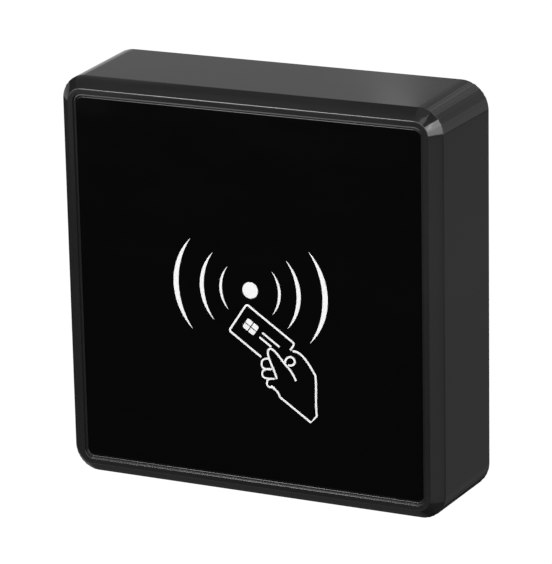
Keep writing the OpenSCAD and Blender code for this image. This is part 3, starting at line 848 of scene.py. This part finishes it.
# Softboxes in rings round the reader: elevation, width and height in degrees, {azimuth: brightness}.
# Azimuth 0 is in front, 90 to the right and 180 behind.
SOFTBOXES = (
    (86, 34, 34, {0: 0.23}),
    (54, 36, 28, {-163: 0.6, -118: 0.69, -73: 0.09, -28: 0.13, 17: 1.43, 107: 1.67, 152: 0.81}),
    (27, 20, 24, {-168: 0.19, -148: 0.31, -68: 0.52, -48: 2.19, -8: 2.05, 12: 2.6, 32: 1.4}),
    (27, 20, 24, {52: 4, 72: 5, 92: 1.15, 112: 1.24, 132: 0.87, 152: 0.22, 172: 0.34}),
    (3, 30, 22, {-178: 0.23, -148: 0.67, -118: 0.38, -58: 0.5, -28: 2.6, 12: 1.5, 92: 1.26, 122: 2.47}),
    (3, 30, 22, {152: 0.3}),
    (6, 26, 18, {64: 3.8}),
    (27, 11, 24, {-27: 20}),
    (-27, 30, 34, {-148: 0.28, 62: 0.29, 152: 0.13}),
    (-35, 30, 18, {-28: 0.22}),
    (-60, 58, 30, {-132: 0.07, -42: 0.35, 138: 0.06}),
)
SOFTBOX_DISTANCE = 0.7
READER_MIDDLE = Vector((0, -12 * MM, 0))
ROOM_LIGHT = 0.03


def aim(obj, target):
    obj.rotation_mode = "QUATERNION"
    obj.rotation_quaternion = (target - obj.location).to_track_quat("-Z", "Y")


def direction(azimuth, elevation):
    """Unit vector from the reader at angles in degrees, azimuth 0 in front and 90 to the right."""
    a, e = math.radians(azimuth), math.radians(elevation)
    return Vector((math.sin(a) * math.cos(e), -math.cos(a) * math.cos(e), math.sin(e)))


def make_camera():
    """Camera at the photograph's place: right of the middle, above it, and rolled a little."""
    azimuth, elevation, roll = 25.82, 16.96, math.radians(-1.16)
    distance, lens = 0.7446, 230.8
    target = Vector((0.54 * MM, -13 * MM, 0.09 * MM))
    data = bpy.data.cameras.new("camera")
    data.lens = lens
    data.clip_start = 0.01
    cam = bpy.data.objects.new("camera", data)
    bpy.context.scene.collection.objects.link(cam)
    cam.location = target + direction(azimuth, elevation) * distance
    aim(cam, target)
    cam.rotation_quaternion = cam.rotation_quaternion @ Matrix.Rotation(roll, 4, "Z").to_quaternion()
    bpy.context.scene.camera = cam


def softbox(azimuth, elevation, width, height, brightness):
    """Rectangular area light that faces the reader and fills the given angles."""
    data = bpy.data.lights.new("softbox", "AREA")
    data.shape = "RECTANGLE"
    data.size = 2 * SOFTBOX_DISTANCE * math.tan(math.radians(width / 2))
    data.size_y = 2 * SOFTBOX_DISTANCE * math.tan(math.radians(height / 2))
    data.energy = brightness * math.pi * data.size * data.size_y
    lamp = bpy.data.objects.new("softbox", data)
    bpy.context.scene.collection.objects.link(lamp)
    lamp.location = READER_MIDDLE + direction(azimuth, elevation) * SOFTBOX_DISTANCE
    aim(lamp, READER_MIDDLE)
    lamp.visible_camera = False


def make_world():
    """Dim room, with white behind everything the camera sees directly."""
    world = bpy.data.worlds.new("studio")
    bpy.context.scene.world = world
    world.use_nodes = True
    nodes, links = world.node_tree.nodes, world.node_tree.links
    nodes.clear()
    room = nodes.new("ShaderNodeBackground")
    room.inputs["Strength"].default_value = ROOM_LIGHT
    white = nodes.new("ShaderNodeBackground")
    white.inputs["Color"].default_value = (1, 1, 1, 1)
    path = nodes.new("ShaderNodeLightPath")
    mix = nodes.new("ShaderNodeMixShader")
    out = nodes.new("ShaderNodeOutputWorld")
    links.new(path.outputs["Is Camera Ray"], mix.inputs[0])
    links.new(room.outputs[0], mix.inputs[1])
    links.new(white.outputs[0], mix.inputs[2])
    links.new(mix.outputs[0], out.inputs[0])


def make_floor():
    """Plain white floor, far enough below to catch no shadow."""
    half_size, drop = 15, 0.9
    bm = bmesh.new()
    bmesh.ops.create_grid(bm, x_segments=1, y_segments=1, size=half_size)
    floor = object_from(bm, "floor")
    floor.location.z = -drop
    mat, nodes, _ = material("floor_white")
    sockets = nodes["Principled BSDF"].inputs
    sockets["Base Color"].default_value = (0.9, 0.9, 0.9, 1)
    sockets["Emission Color"].default_value = (1, 1, 1, 1)
    sockets["Emission Strength"].default_value = 1.0
    floor.data.materials.append(mat)
    floor.visible_glossy = False
    floor.visible_diffuse = False
    floor.visible_shadow = False


make_camera()
make_world()
make_floor()
for elevation, width, height, ring in SOFTBOXES:
    for azimuth, brightness in ring.items():
        softbox(azimuth, elevation, width, height, brightness)
bpy.context.scene.view_settings.view_transform = "Standard"
